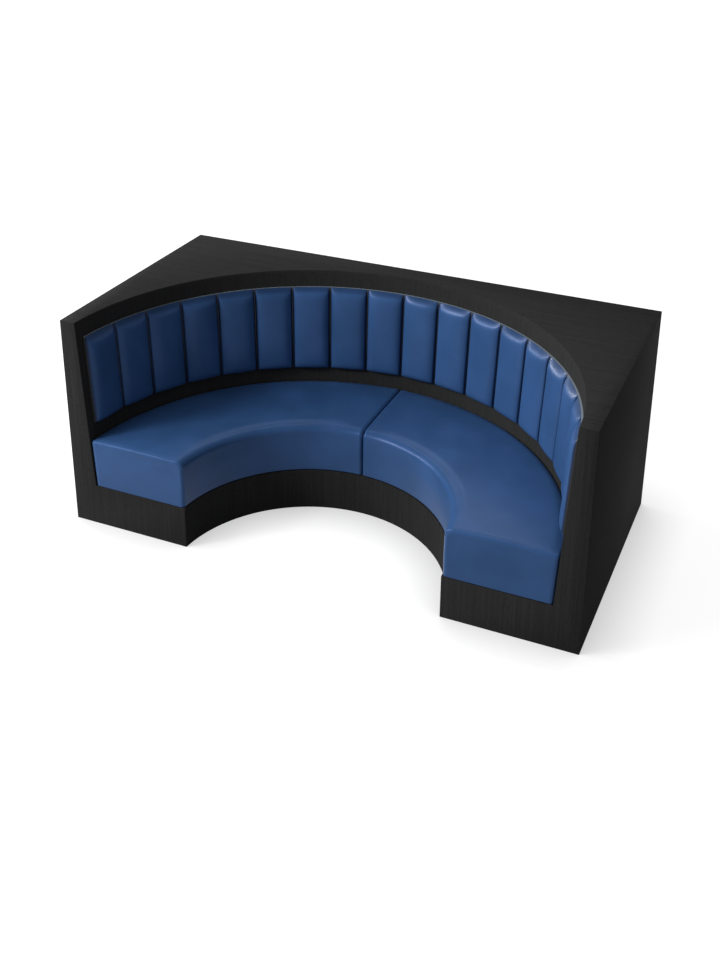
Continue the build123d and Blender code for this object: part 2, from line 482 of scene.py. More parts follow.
@dataclass(frozen=True)
class FauxLeather:
    """Fabric coated with polyurethane and embossed with a fine grain, stretched over foam.

    The coat gives a broad soft highlight, the embossing breaks it up from close by, and the
    raised edges are painted a little lighter, partly as wear and partly as painted sheen. Painted
    shade darkens the colour in the seams and over the top strip of each pad, which draws the dark
    lines between the channels.
    """

    body: str = "#2f4d79"
    shade: str = "#29466e"
    worn_and_sheen: str = "#3b5c90"
    tucked: str = "#0e182c"
    grain_size: float = 0.0022  # real grain is about 1 mm, drawn coarser so that it shows
    grain_relief: float = 0.22
    grain_depth: float = 0.0002
    cloud_size: float = 0.22
    cloud_range: tuple[float, float] = (0.35, 0.65)
    worn_and_sheen_range: tuple[float, float] = (0.52, 0.62)
    worn_and_sheen_share: float = 0.6
    roughness: tuple[float, float] = (0.34, 0.42)
    specular: float = 0.24
    sheen: str = "#8fb0ff"
    gloss: float = 0.1
    gloss_roughness: float = 0.25

    def make(self) -> bpy.types.Material:
        """Make the finish.

        Returns:
            The material.
        """
        material, tree = new_material("blue_faux_leather")
        place = add_node(tree, "ShaderNodeTexCoord").outputs["Object"]
        clouds = add_node(tree, "ShaderNodeTexNoise", {"Scale": 1 / self.cloud_size, "Detail": 3.0},
                          {"Vector": place}).outputs[0]
        spread = add_node(tree, "ShaderNodeMapRange", {"From Min": self.cloud_range[0],
                                                       "From Max": self.cloud_range[1]},
                          {"Value": clouds}).outputs[0]
        colour = add_node(tree, "ShaderNodeMix", {"data_type": "RGBA", 6: linear(self.shade),
                                                  7: linear(self.body)}, {0: spread}).outputs[2]
        # raised edges painted lighter: partly wear, partly painted sheen
        raised = add_node(tree, "ShaderNodeMapRange", {"From Min": self.worn_and_sheen_range[0],
                                                       "From Max": self.worn_and_sheen_range[1],
                                                       "To Max": self.worn_and_sheen_share},
                          {"Value": add_node(tree, "ShaderNodeNewGeometry").outputs["Pointiness"]})
        worn_and_sheen_colour = add_node(tree, "ShaderNodeMix", {"data_type": "RGBA", 7: linear(self.worn_and_sheen)},
                          {0: raised.outputs[0], 6: colour}).outputs[2]
        # painted shade in the seams and over the top strip of the pads
        hidden = add_node(tree, "ShaderNodeAttribute", {"attribute_name": PAINTED_SHADE}).outputs["Fac"]
        shaded = add_node(tree, "ShaderNodeMix", {"data_type": "RGBA", 7: linear(self.tucked)},
                          {0: hidden, 6: worn_and_sheen_colour}).outputs[2]
        rough = add_node(tree, "ShaderNodeMapRange", {"To Min": self.roughness[0],
                                                      "To Max": self.roughness[1]},
                         {"Value": clouds}).outputs[0]
        pebbles = add_node(tree, "ShaderNodeTexVoronoi", {"feature": "SMOOTH_F1",
                                                          "Scale": 1 / self.grain_size},
                           {"Vector": place}).outputs["Distance"]
        embossed = add_node(tree, "ShaderNodeBump", {"invert": True, "Strength": self.grain_relief,
                                                     "Distance": self.grain_depth},
                            {"Height": pebbles})
        skin = add_node(tree, "ShaderNodeBsdfPrincipled", {"Specular IOR Level": self.specular,
                                                           "Specular Tint": linear(self.sheen),
                                                           "Coat Weight": self.gloss,
                                                           "Coat Roughness": self.gloss_roughness},
                        {"Base Color": shaded, "Roughness": rough, "Normal": embossed.outputs[0]})
        close_surface(tree, skin.outputs[0])
        return material


@dataclass(frozen=True)
class BoardWithPaintedTopHighlight:
    """Thin fibreboard with a black face and an upper edge that is sealed and brushed grey; the grey goes
    on every face that points up, as a painted highlight.

    Only the narrow top edge points up, so the painted highlight draws a fine line along the top of the
    pads.
    """

    # light is the brushed grey of the painted highlight on the faces that point up
    light: str = "#6d7883"
    dark: str = "#5a646f"
    face: str = "#0e0f10"
    stroke: float = 0.004
    relief: float = 0.2
    relief_depth: float = 0.0002
    faces_up: float = 0.6
    roughness: float = 0.5

    def make(self) -> bpy.types.Material:
        """Make the finish.

        Returns:
            The material.
        """
        material, tree = new_material("fibreboard_painted_top_highlight")
        place = add_node(tree, "ShaderNodeTexCoord").outputs["Object"]
        strokes = add_node(tree, "ShaderNodeTexNoise", {"Scale": 1 / self.stroke, "Detail": 2.0},
                           {"Vector": place}).outputs[0]
        brushed = add_node(tree, "ShaderNodeMix", {"data_type": "RGBA", 6: linear(self.dark),
                                                   7: linear(self.light)}, {0: strokes}).outputs[2]
        # painted highlight: grey only on the faces that point up
        normal = add_node(tree, "ShaderNodeNewGeometry").outputs["True Normal"]
        upwards = add_node(tree, "ShaderNodeSeparateXYZ", links={0: normal}).outputs[2]
        painted_top_highlight = add_node(tree, "ShaderNodeMath", {"operation": "GREATER_THAN", 1: self.faces_up},
                           {0: upwards})
        colour = add_node(tree, "ShaderNodeMix", {"data_type": "RGBA", 6: linear(self.face)},
                          {0: painted_top_highlight.outputs[0], 7: brushed}).outputs[2]
        relief = add_node(tree, "ShaderNodeBump", {"Strength": self.relief,
                                                   "Distance": self.relief_depth},
                          {"Height": strokes}).outputs[0]
        skin = add_node(tree, "ShaderNodeBsdfPrincipled", {"Roughness": self.roughness},
                        {"Base Color": colour, "Normal": relief})
        close_surface(tree, skin.outputs[0])
        return material


@dataclass(frozen=True)
class BirchPlywood:
    """Bare birch plywood: pale faces with a soft figure, and edges striped by the glue lines."""

    pale: str = "#d3b78b"
    warm: str = "#b8935f"
    glue: str = "#7d5c3a"
    figure_width: float = 0.014
    figure_length: float = 0.35
    layer: float = 0.0028  # pairs of 1.4 mm veneers, dark where the end grain shows
    edge_facing: float = 0.5
    glue_start: float = 0.2
    glue_share: float = 0.8
    roughness: float = 0.62
    specular: float = 0.35

    def make(self, lay: BoardLay) -> bpy.types.Material:
        """Make the finish for sheets that lie one way.

        Args:
            lay: How the sheet lies.

        Returns:
            The material.
        """
        material, tree = new_material(f"birch_plywood_{lay.name.lower()}")
        place = add_node(tree, "ShaderNodeTexCoord").outputs["Object"]
        scale = (1 / self.figure_length, 1 / self.figure_width, 1 / self.figure_width)
        mapped = add_node(tree, "ShaderNodeMapping", {"Scale": scale}, {"Vector": place})
        figure = add_node(tree, "ShaderNodeTexNoise", {"Scale": 1.0, "Detail": 4.0},
                          {"Vector": mapped.outputs[0]}).outputs[0]
        colour = add_node(tree, "ShaderNodeMix", {"data_type": "RGBA", 6: linear(self.warm),
                                                  7: linear(self.pale)}, {0: figure}).outputs[2]
        split = add_node(tree, "ShaderNodeSeparateXYZ", links={0: place}).outputs[lay.value]
        waves = add_node(tree, "ShaderNodeMath", {"operation": "MULTIPLY",
                                                  1: 2 * math.pi / self.layer}, {0: split})
        stripe = add_node(tree, "ShaderNodeMath", {"operation": "SINE"}, {0: waves.outputs[0]})
        normal = add_node(tree, "ShaderNodeNewGeometry").outputs["True Normal"]
        facing = add_node(tree, "ShaderNodeSeparateXYZ", links={0: normal}).outputs[lay.value]
        flat = add_node(tree, "ShaderNodeMath", {"operation": "ABSOLUTE"}, {0: facing}).outputs[0]
        edge = add_node(tree, "ShaderNodeMath", {"operation": "LESS_THAN", 1: self.edge_facing},
                        {0: flat})
        line = add_node(tree, "ShaderNodeMapRange", {"From Min": self.glue_start,
                                                     "To Max": self.glue_share},
                        {"Value": stripe.outputs[0]}).outputs[0]
        shown = add_node(tree, "ShaderNodeMath", {"operation": "MULTIPLY"},
                         {0: line, 1: edge.outputs[0]}).outputs[0]
        layered = add_node(tree, "ShaderNodeMix", {"data_type": "RGBA", 7: linear(self.glue)},
                           {0: shown, 6: colour}).outputs[2]
        skin = add_node(tree, "ShaderNodeBsdfPrincipled", {"Roughness": self.roughness,
                                                           "Specular IOR Level": self.specular},
                        {"Base Color": layered})
        close_surface(tree, skin.outputs[0])
        return material


@dataclass(frozen=True)
class PineBatten:
    """Planed pine: yellow earlywood between narrow brown latewood lines along the batten."""

    early: str = "#dcc08f"
    late: str = "#b98a55"
    ring: float = 0.006
    drawn_out: float = 20.0
    spread: float = 0.5
    waviness: float = 0.6
    late_range: tuple[float, float] = (0.45, 0.62)
    relief: float = 0.2
    relief_depth: float = 0.0002
    roughness: float = 0.58
    specular: float = 0.35

    def make(self, grain: Grain) -> bpy.types.Material:
        """Make the finish for one direction of the grain.

        Args:
            grain: Direction that the grain runs in.

        Returns:
            The material.
        """
        material, tree = new_material(f"planed_pine_{grain.name.lower()}")
        place = add_node(tree, "ShaderNodeTexCoord").outputs["Object"]
        scale = [1 / (self.ring * self.drawn_out if along else self.ring) for along in grain.value]
        mapped = add_node(tree, "ShaderNodeMapping", {"Scale": scale}, {"Vector": place})
        rings = add_node(tree, "ShaderNodeTexNoise", {"Scale": self.spread, "Detail": 2.0,
                                                      "Distortion": self.waviness},
                         {"Vector": mapped.outputs[0]}).outputs[0]
        sharp = add_node(tree, "ShaderNodeMapRange", {"From Min": self.late_range[0],
                                                      "From Max": self.late_range[1]},
                         {"Value": rings}).outputs[0]
        colour = add_node(tree, "ShaderNodeMix", {"data_type": "RGBA", 6: linear(self.early),
                                                  7: linear(self.late)}, {0: sharp}).outputs[2]
        relief = add_node(tree, "ShaderNodeBump", {"Strength": self.relief,
                                                   "Distance": self.relief_depth},
                          {"Height": rings}).outputs[0]
        skin = add_node(tree, "ShaderNodeBsdfPrincipled", {"Roughness": self.roughness,
                                                           "Specular IOR Level": self.specular},
                        {"Base Color": colour, "Normal": relief})
        close_surface(tree, skin.outputs[0])
        return material


@dataclass(frozen=True)
class FasteningTape:
    """Woven black nylon tape with a pile of hooks or loops, which gives a dull fuzzy face."""

    deep: str = "#0c0c0d"
    pile: str = "#242426"
    tuft: float = 0.0016
    relief: float = 0.8
    relief_depth: float = 0.0006
    roughness: float = 0.9
    specular: float = 0.2

    def make(self) -> bpy.types.Material:
        """Make the finish.

        Returns:
            The material.
        """
        material, tree = new_material("nylon_fastening_tape")
        place = add_node(tree, "ShaderNodeTexCoord").outputs["Object"]
        tufts = add_node(tree, "ShaderNodeTexVoronoi", {"Scale": 1 / self.tuft},
                         {"Vector": place}).outputs["Distance"]
        colour = add_node(tree, "ShaderNodeMix", {"data_type": "RGBA", 6: linear(self.pile),
                                                  7: linear(self.deep)}, {0: tufts}).outputs[2]
        relief = add_node(tree, "ShaderNodeBump", {"invert": True, "Strength": self.relief,
                                                   "Distance": self.relief_depth}, {"Height": tufts})
        skin = add_node(tree, "ShaderNodeBsdfPrincipled", {"Roughness": self.roughness,
                                                           "Specular IOR Level": self.specular},
                        {"Base Color": colour, "Normal": relief.outputs[0]})
        close_surface(tree, skin.outputs[0])
        return material


@dataclass(frozen=True)
class SewingThread:
    """Bonded nylon thread in two twisted plies, darker than the cover that it sews.

    The twist mixes two navy tones, so the eye finds a row of small dull dashes.
    """

    colour: str = "#0f1a31"
    light: str = "#1a2b4c"
    twist: float = 0.0009
    roughness: float = 0.6

    def make(self) -> bpy.types.Material:
        """Make the finish.

        Returns:
            The material.
        """
        material, tree = new_material("bonded_nylon_thread")
        place = add_node(tree, "ShaderNodeTexCoord").outputs["Object"]
        plies = add_node(tree, "ShaderNodeTexNoise", {"Scale": 1 / self.twist},
                         {"Vector": place}).outputs[0]
        colour = add_node(tree, "ShaderNodeMix", {"data_type": "RGBA", 6: linear(self.colour),
                                                  7: linear(self.light)}, {0: plies}).outputs[2]
        skin = add_node(tree, "ShaderNodeBsdfPrincipled", {"Roughness": self.roughness},
                        {"Base Color": colour})
        close_surface(tree, skin.outputs[0])
        return material


# Soft pieces


@dataclass
class SoftShell:
    """Closed skin of a pad: rings of points from one end to the other, and a grid on each end.

    A ring runs up its first side, over its face, down its second side and back underneath, with
    the same number of steps on opposite sides, so that the ends close without a pole.
    """

    name: str
    rings: list[list[Vector]]
    face_steps: int
    side_steps: int

    def _end_cap(self, ring: Sequence[int], points: list[Vector], faces: list[tuple]) -> None:
        """Fill one end with a grid between the four sides of its ring.

        Args:
            ring: Numbers of the points of the end ring.
            points: All points, which take the new ones.
            faces: All faces, which take the new ones.
        """
        across, up = self.face_steps, self.side_steps
        first = list(ring[:up + 1])
        face = list(ring[up:up + across + 1])
        second = list(ring[up + across:2 * up + across + 1])[::-1]
        under = (list(ring[2 * up + across:]) + [ring[0]])[::-1]
        grid = {}
        for i in range(across + 1):
            for j in range(up + 1):
                u, w = i / across, j / up
                if i in (0, across):
                    grid[i, j] = (first, second)[i > 0][j]
                elif j in (0, up):
                    grid[i, j] = (under, face)[j > 0][i]
                else:
                    lofted = (points[first[j]].lerp(points[second[j]], u)
                              + points[under[i]].lerp(points[face[i]], w)
                              - points[first[0]].lerp(points[second[0]], u).lerp(
                                  points[first[up]].lerp(points[second[up]], u), w))
                    points.append(lofted)
                    grid[i, j] = len(points) - 1
        for i in range(across):
            for j in range(up):
                faces.append((grid[i, j], grid[i + 1, j], grid[i + 1, j + 1], grid[i, j + 1]))

    def build(self) -> bpy.types.Object:
        """Join the rings and close the ends.

        Returns:
            The shell as a closed mesh whose first points are the rings in order.
        """
        size = len(self.rings[0])
        points = [point.copy() for ring in self.rings for point in ring]
        faces: list[tuple] = []
        for row in range(len(self.rings) - 1):
            for step in range(size):
                after = (step + 1) % size
                faces.append((row * size + step, row * size + after, (row + 1) * size + after,
                              (row + 1) * size + step))
        self._end_cap(range(size), points, faces)
        last = (len(self.rings) - 1) * size
        self._end_cap(range(last, last + size), points, faces)
        mesh = bpy.data.meshes.new(self.name)
        mesh.from_pydata(points, [], faces)
        shell = bpy.data.objects.new(self.name, mesh)
        bpy.context.scene.collection.objects.link(shell)
        with editing(shell, "VERT"):
            bpy.ops.mesh.select_all(action="SELECT")
            bpy.ops.mesh.normals_make_consistent(inside=False)
        return shell


@dataclass(frozen=True)
class Stuffing:
    """How hard the foam presses against its cover, and how far the cover may give.

    The limits of give are away from the axis of the bay, along its arc and up. Where even_rows
    isn't zero, the moves are averaged over that many rings on either side.
    """

    pressure: float
    stiffness: float
    frames: int
    give: tuple[float, float, float]
    even_rows: int = 0
    bending: float = 2.0
    quality: int = 6

    def swell(self, shell: bpy.types.Object, hold: Sequence[float],
              directions: Callable[[Vector], tuple[Vector, Vector, Vector]],
              size: int = 0, rows: int = 0) -> None:
        """Blow the cover up as cloth, limit how far each point moves, and apply the result.

        Args:
            shell: Closed cover.
            hold: How firmly each point is held where it is, from 0 to 1.
            directions: Gives the three directions that the limits of a point apply to.
            size: Number of points in a ring of the cover.
            rows: Number of its rings.
        """
        rest = [vertex.co.copy() for vertex in shell.data.vertices]
        pins = shell.vertex_groups.new(name="hold")
        for number, weight in enumerate(hold):
            pins.add([number], weight, "REPLACE")
        only(shell)
        cloth = shell.modifiers.new("cover", "CLOTH")
        cloth.settings.quality = self.quality
        cloth.settings.use_pressure = True
        cloth.settings.uniform_pressure_force = self.pressure
        cloth.settings.tension_stiffness = self.stiffness
        cloth.settings.compression_stiffness = self.stiffness
        cloth.settings.bending_stiffness = self.bending
        cloth.settings.vertex_group_mass = pins.name
        cloth.settings.effector_weights.gravity = 0
        cloth.point_cache.frame_end = self.frames
        for number in range(1, self.frames + 1):
            bpy.context.scene.frame_set(number)
        bpy.ops.object.modifier_apply(modifier=cloth.name)
        bpy.context.scene.frame_set(1)
        shell.vertex_groups.clear()
        moves = []
        for vertex, start in zip(shell.data.vertices, rest):
            move = vertex.co - start
            moves.append([limit * math.tanh(move.dot(direction) / limit)
                          for direction, limit in zip(directions(start), self.give)])
        if self.even_rows:
            moves = self._evened(moves, size, rows)
        for vertex, start, move in zip(shell.data.vertices, rest, moves):
            vertex.co = start + sum((direction * part for direction, part
                                     in zip(directions(start), move)), Vector())
        furthest = max(Vector(move).length for move in moves)
        log.info("%s: cover pressed out by up to %.1f mm", shell.name, furthest * 1000)

    def _evened(self, moves: list[list[float]], size: int, rows: int) -> list[list[float]]:
        """Average the moves along a tightly stretched cover, which leaves it without creases.

        Args:
            moves: Moves of all points, ring by ring, with the points of the end caps last.
            size: Number of points in a ring.
            rows: Number of rings.

        Returns:
            The averaged moves.
        """
        evened = [list(move) for move in moves]
        for row in range(rows):
            inwards = min(row, rows - 1 - row)
            reach = min(inwards, self.even_rows)
            share = min(1.0, inwards / self.even_rows)
            near = range(row - reach, row + reach + 1)
            for point in range(size):
                evened[row * size + point] = [share * sum(moves[other * size + point][part]
                                                          for other in near) / len(near)
                                              for part in range(3)]
        return evened


def refine(shell: bpy.types.Object) -> None:
    """Add one round of subdivision and shade the shell smooth.

    Args:
        shell: Closed shell.
    """
    only(shell)
    finer = shell.modifiers.new("finer", "SUBSURF")
    finer.levels = 1
    finer.render_levels = 1
    bpy.ops.object.modifier_apply(modifier=finer.name)
    bpy.ops.object.shade_smooth()


# The case


@dataclass
class Case:
    """Boxed case of veneered boards, mitred at the outer edges, with the round bay in it."""

    plan: BoothPlan
    veneer: StainedVeneer = StainedVeneer()
    arc_steps: int = 384
    ring_steps: int = 180
    inner_ease: float = 0.001
    cutter_spare: float = 0.02
    front_start: float = 0.3
    round_tolerance: float = 3e-4
    body: str = "case"
    slot: str = "black_stained_wood"

    def __post_init__(self) -> None:
        """Make the two directions of the veneer."""
        self.upright = self.veneer.make(Grain.UPRIGHT)
        self.lengthwise = self.veneer.make(Grain.LENGTHWISE)

    def _cutters(self) -> tuple[bpy.types.Object, bpy.types.Object]:
        """Add the drum of the bay and the leaning bowl over the seats.

        Returns:
            Both as objects that are used up by the boards and then removed.
        """
        plan, spare = self.plan, self.cutter_spare
        bpy.ops.object.select_all(action="DESELECT")
        bpy.ops.mesh.primitive_cylinder_add(vertices=self.arc_steps, radius=plan.bay_radius,
                                            depth=plan.plinth_height + 2 * spare,
                                            location=plan.axis + Vector((0, 0, plan.plinth_height / 2)))
        drum = named("bay_drum")
        low, high = plan.plinth_height, plan.height + spare
        bpy.ops.object.select_all(action="DESELECT")
        bpy.ops.mesh.primitive_cone_add(vertices=self.arc_steps, radius1=plan.wall_radius(low),
                                        radius2=plan.wall_radius(high), depth=high - low,
                                        location=plan.axis + Vector((0, 0, (low + high) / 2)))
        return drum, named("bowl")

    def _top(self, bowl: bpy.types.Object) -> None:
        """Make the top board, with the round opening eased along its edge.

        Args:
            bowl: Space over the seats, which the opening is cut with.
        """
        plan = self.plan
        back = -plan.front
        top = block("case_top", (-plan.side, -back, plan.height - plan.board),
                    (plan.side, back, plan.height))
        for x, y in ((1, 0), (-1, 0), (0, 1), (0, -1)):
            mitre(top, (x * plan.side, y * back, plan.height), (0, 0, 1), (x, y, 0))
        carve(top, bowl)
        radius = plan.wall_radius(plan.height)
        bevel_where(top, lambda a, b: all(abs(end.z - plan.height) < TOUCHING
                                          and abs((end - plan.axis).xy.length - radius)
                                          < self.round_tolerance for end in (a, b)), self.inner_ease)
        smooth(top)
        dress(top, self.lengthwise, self.body, ["top_panel"])

    def _sides(self) -> None:
        """Make the two side boards."""
        plan = self.plan
        for side in Side:
            outer = side.value * plan.side
            near, far = sorted((outer, outer - side.value * plan.board))
            panel = block(f"case_side_{side.word}", (near, plan.front, 0),
                          (far, -plan.front, plan.height))
            for beside, edge in (((0, -1, 0), (outer, plan.front, 0)),
                                 ((0, 1, 0), (outer, -plan.front, 0)),
                                 ((0, 0, 1), (outer, 0, plan.height))):
                mitre(panel, edge, (side.value, 0, 0), beside)
            smooth(panel)
            dress(panel, self.upright, self.body, [f"{side.word}_side_panel"])

    def _back(self) -> None:
        """Make the back board."""
        plan = self.plan
        back = -plan.front
        panel = block("case_back", (-plan.side, back - plan.board, 0), (plan.side, back, plan.height))
        for beside, edge in (((1, 0, 0), (plan.side, back, 0)), ((-1, 0, 0), (-plan.side, back, 0)),
                             ((0, 0, 1), (0, back, plan.height))):
            mitre(panel, edge, (0, 1, 0), beside)
        smooth(panel)
        dress(panel, self.upright, self.body, ["back_panel"])

    def _fronts(self, drum: bpy.types.Object, bowl: bpy.types.Object) -> None:
        """Make the two front boards, each an arm front and a plinth end in one.

        Args:
            drum: Space of the bay below the seats.
            bowl: Space over the seats.
        """
        plan = self.plan
        for side in Side:
            near, far = sorted((side.value * self.front_start, side.value * plan.side))
            panel = block(f"case_front_{side.word}", (near, plan.front, 0),
                          (far, plan.front + plan.board, plan.height))
            mitre(panel, (side.value * plan.side, plan.front, 0), (0, -1, 0), (side.value, 0, 0))
            mitre(panel, (0, plan.front, plan.height), (0, -1, 0), (0, 0, 1))
            carve(panel, bowl)
            carve(panel, drum)
            bevel_where(panel, self._is_bay_edge, self.inner_ease)
            smooth(panel)
            dress(panel, self.upright, self.body, [f"{side.word}_front_panel"])

    def _is_bay_edge(self, start: Vector, end: Vector) -> bool:
        """Say whether an edge of a front board runs along the bay on the front face.

        Args:
            start: One end of the edge.
            end: Its other end.

        Returns:
            True if both ends lie on the front face and on the outline of the bay.
        """
        plan = self.plan
        for point in (start, end):
            if abs(point.y - plan.front) > TOUCHING or point.z < -TOUCHING:
                return False
            radius = (point - plan.axis).xy.length
            on_wall = abs(radius - plan.wall_radius(point.z)) < self.round_tolerance
            on_drum = (abs(radius - plan.bay_radius) < self.round_tolerance
                       and point.z < plan.plinth_height + self.round_tolerance)
            on_ledge = abs(point.z - plan.plinth_height) < TOUCHING
            if not (on_wall or on_drum or on_ledge):
                return False
        return True

    def _rings(self) -> None:
        """Make the round plinth board and the leaning lining of the inner wall."""
        plan = self.plan
        low, top = plan.plinth_height, plan.height - plan.board
        inner, outer = plan.bay_radius, plan.bay_radius + plan.board
        wall = [(plan.wall_radius(height) + depth, height)
                for depth, height in ((0, low), (plan.lining, low), (plan.lining, top), (0, top))]
        sections = {"plinth_board": ("bay_plinth", [(inner, 0), (outer, 0), (outer, low), (inner, low)]),
                    "wall_lining": ("bay_wall", wall)}
        for node, (name, corners) in sections.items():
            ring = spun(name, plan, corners, (-OVERRUN, 180 + OVERRUN), self.ring_steps)
            trim(ring, (0, plan.front + plan.board, 0), (0, -1, 0))
            face_out(ring)
            smooth(ring)
            dress(ring, self.upright, self.body, [node])

    def _framing(self) -> None:
        """Give the hidden framing its own finishes."""
        plywood, pine = BirchPlywood(), PineBatten()
        finishes = {
            plywood.make(BoardLay.FLAT): ("seat_deck_left", "seat_deck_right", "bottom_plate_left",
                                          "bottom_plate_right", "top_plate_left", "top_plate_right"),
            plywood.make(BoardLay.UPRIGHT): ("base_ribs_left", "base_ribs_right", "base_rib_centre"),
            pine.make(Grain.UPRIGHT): ("front_post_left", "front_post_right", "back_post_left",
                                       "back_post_right", "wall_studs_left", "wall_studs_right",
                                       "wall_stud_centre"),
            pine.make(Grain.CROSSWISE): ("ledger_left", "ledger_right"),
            pine.make(Grain.LENGTHWISE): ("ledger_back",),
            FasteningTape().make(): ("hook_strips", "loop_strips_left", "loop_strips_right"),
        }
        for material, names in finishes.items():
            for name in names:
                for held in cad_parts[name].material_slots:
                    held.material = material

    def build(self) -> None:
        """Make every board of the case."""
        drum, bowl = self._cutters()
        self._top(bowl)
        self._fronts(drum, bowl)
        for cutter in (drum, bowl):
            bpy.data.objects.remove(cutter)
        self._sides()
        self._back()
        self._rings()
        self._framing()


# The backrest


@dataclass
class Backrest:
    """Channelled backrest: a thin bent board in two halves and a row of upholstered pads."""

    plan: BoothPlan
    leather: bpy.types.Material
    border: float = 0.0006
    border_ease: float = 0.0008
    board_steps: int = 92
    pad_thickness: float = 0.030
    pad_gap: float = 0.001
    soft_gap: float = 0.0003
    top_corner: float = 0.006
    top_corner_height: float = 0.016
    foot_corner: float = 0.004
    foot_corner_height: float = 0.008
    corner_power: float = 1.8
    pinch: float = 0.0052
    side_share: float = 0.12
    roundness: float = 0.88
    top_edge: float = 0.003
    top_slope: float = 0.95
    top_rounding: float = 0.008
    top_roll: float = 0.072
    foot_share: float = 0.36
    foot_roll: float = 0.034
    foot_powers: tuple[float, float] = (2.2, 0.6)
    rows_foot: int = 7
    rows_body: int = 14
    rows_top: int = 18
    start_slack: float = 0.0012
    held_depth: float = 0.002
    unevenness: float = 0.0012
    lumps: float = 9.0
    lump_shift: float = 7.3
    fill: float = 0.8
    # painted shade of the leather: in the seams and over the top strip of each pad
    seam_shade: tuple[float, float] = (0.0050, 0.0115)
    top_shade: tuple[float, float] = (0.940, 0.956)
    top_shade_share: float = 0.45
    face_steps: int = 22
    side_steps: int = 4
    stuffing: Stuffing = Stuffing(pressure=2.0, stiffness=15.0, frames=20, give=(0.0016, 0.0004, 0.001))
    body: str = "case"

    def _thickness(self, height: float) -> float:
        """Thickness of a pad at a height: a slope at its top, a short roll and a round foot.

        Args:
            height: Height above the floor.

        Returns:
            The thickness in the middle of the pad.
        """
        slope = self.top_edge + self.top_slope * (self.plan.backrest_top - height)
        missing = (self.pad_thickness - slope) / self.top_rounding
        thickness = self.pad_thickness - self.top_rounding * math.log1p(math.exp(missing))
        above_foot = (height - self.plan.backrest_bottom) / self.foot_roll
        if above_foot < 1:
            steep, blunt = self.foot_powers
            rounded = (1 - (1 - above_foot) ** steep) ** blunt
            thickness *= self.foot_share + (1 - self.foot_share) * rounded
        return thickness

    def _rows(self) -> list[float]:
        """Find the heights of the rings of a pad, close together at its ends.

        Returns:
            The heights from the foot to the top.
        """
        foot, top = self.plan.backrest_bottom, self.plan.backrest_top
        low = [foot + self.foot_roll * (1 - math.cos(math.pi / 2 * step / self.rows_foot))
               for step in range(self.rows_foot + 1)]
        high = [top - self.top_roll * step / self.rows_top for step in range(self.rows_top + 1)]
        span = high[-1] - low[-1]
        body = [low[-1] + span * step / self.rows_body for step in range(1, self.rows_body)]
        return low + body + high[::-1]

    def _ring(self, height: float, slack: float) -> list[Vector]:
        """Level section of the middle pad.

        Args:
            height: Height of the section.
            slack: How much thinner than its finished size the pad starts.

        Returns:
            The section's points: side, face, side and back.
        """
        plan = self.plan
        back = plan.wall_radius(height) - plan.backing - self.soft_gap
        near_top = max(0.0, 1 - (plan.backrest_top - height) / self.top_corner_height)
        near_foot = max(0.0, 1 - (height - plan.backrest_bottom) / self.foot_corner_height)
        rounding = (self.top_corner * near_top ** self.corner_power
                    + self.foot_corner * near_foot ** self.corner_power)
        half = math.radians(plan.backrest_angle / plan.channels / 2)
        half -= (self.pad_gap / 2 + rounding) / back
        thickness = self._thickness(height) - slack
        narrow = half - self.pinch / back
        points = []
        for step in range(self.side_steps):
            share = step / self.side_steps
            points.append((half + (narrow - half) * share, thickness * self.side_share * share))
        for step in range(self.face_steps + 1):
            turn = math.pi * step / self.face_steps
            across = math.copysign(abs(math.cos(turn)) ** self.roundness, math.cos(turn))
            swell = abs(math.sin(turn)) ** self.roundness
            depth = self.side_share + (1 - self.side_share) * swell
            points.append((narrow * across, thickness * depth))
        for step in range(1, self.side_steps + 1):
            share = 1 - step / self.side_steps
            points.append((-half + (half - narrow) * share, thickness * self.side_share * share))
        for step in range(1, self.face_steps):
            points.append((half * (2 * step / self.face_steps - 1), 0.0))
        return [plan.around(back - depth, math.pi / 2 + angle, height) for angle, depth in points]

    def _pad(self) -> bpy.types.Object:
        """Make the pad of the middle of the wall.

        Returns:
            The finished pad, from which the others are copied.
        """
        slack = self.start_slack
        rings = [self._ring(height, slack) for height in self._rows()]
        pad = SoftShell("pad_pattern", rings, self.face_steps, self.side_steps).build()
        backs = [self.plan.wall_radius(v.co.z) - self.plan.backing - self.soft_gap
                 - (v.co - self.plan.axis).xy.length for v in pad.data.vertices]
        hold = [1.0 if depth < self.held_depth else 0.0 for depth in backs]
        self.stuffing.swell(pad, hold, self.plan.directions)
        refine(pad)
        self._mark_painted_shade(pad)
        return pad

    def _mark_painted_shade(self, pad: bpy.types.Object) -> None:
        """Mark on the middle pad where painted shade darkens its leather: in the seams and over its top.

        Args:
            pad: Finished pad, which takes the marks as an attribute.
        """
        plan = self.plan
        half = math.radians(plan.backrest_angle / plan.channels / 2)
        marks = pad.data.attributes.new(PAINTED_SHADE, "FLOAT", "POINT")
        for vertex, mark in zip(pad.data.vertices, marks.data):
            # painted shade: full in the seams, part over the top strip
            edge = half * (plan.wall_radius(vertex.co.z) - plan.backing)
            near, far = self.seam_shade
            in_seam = (far - (edge - abs(vertex.co.x))) / (far - near)
            low, high = self.top_shade
            on_top = self.top_shade_share * min(1.0, (vertex.co.z - low) / (high - low))
            mark.value = min(1.0, max(0.0, in_seam, on_top))

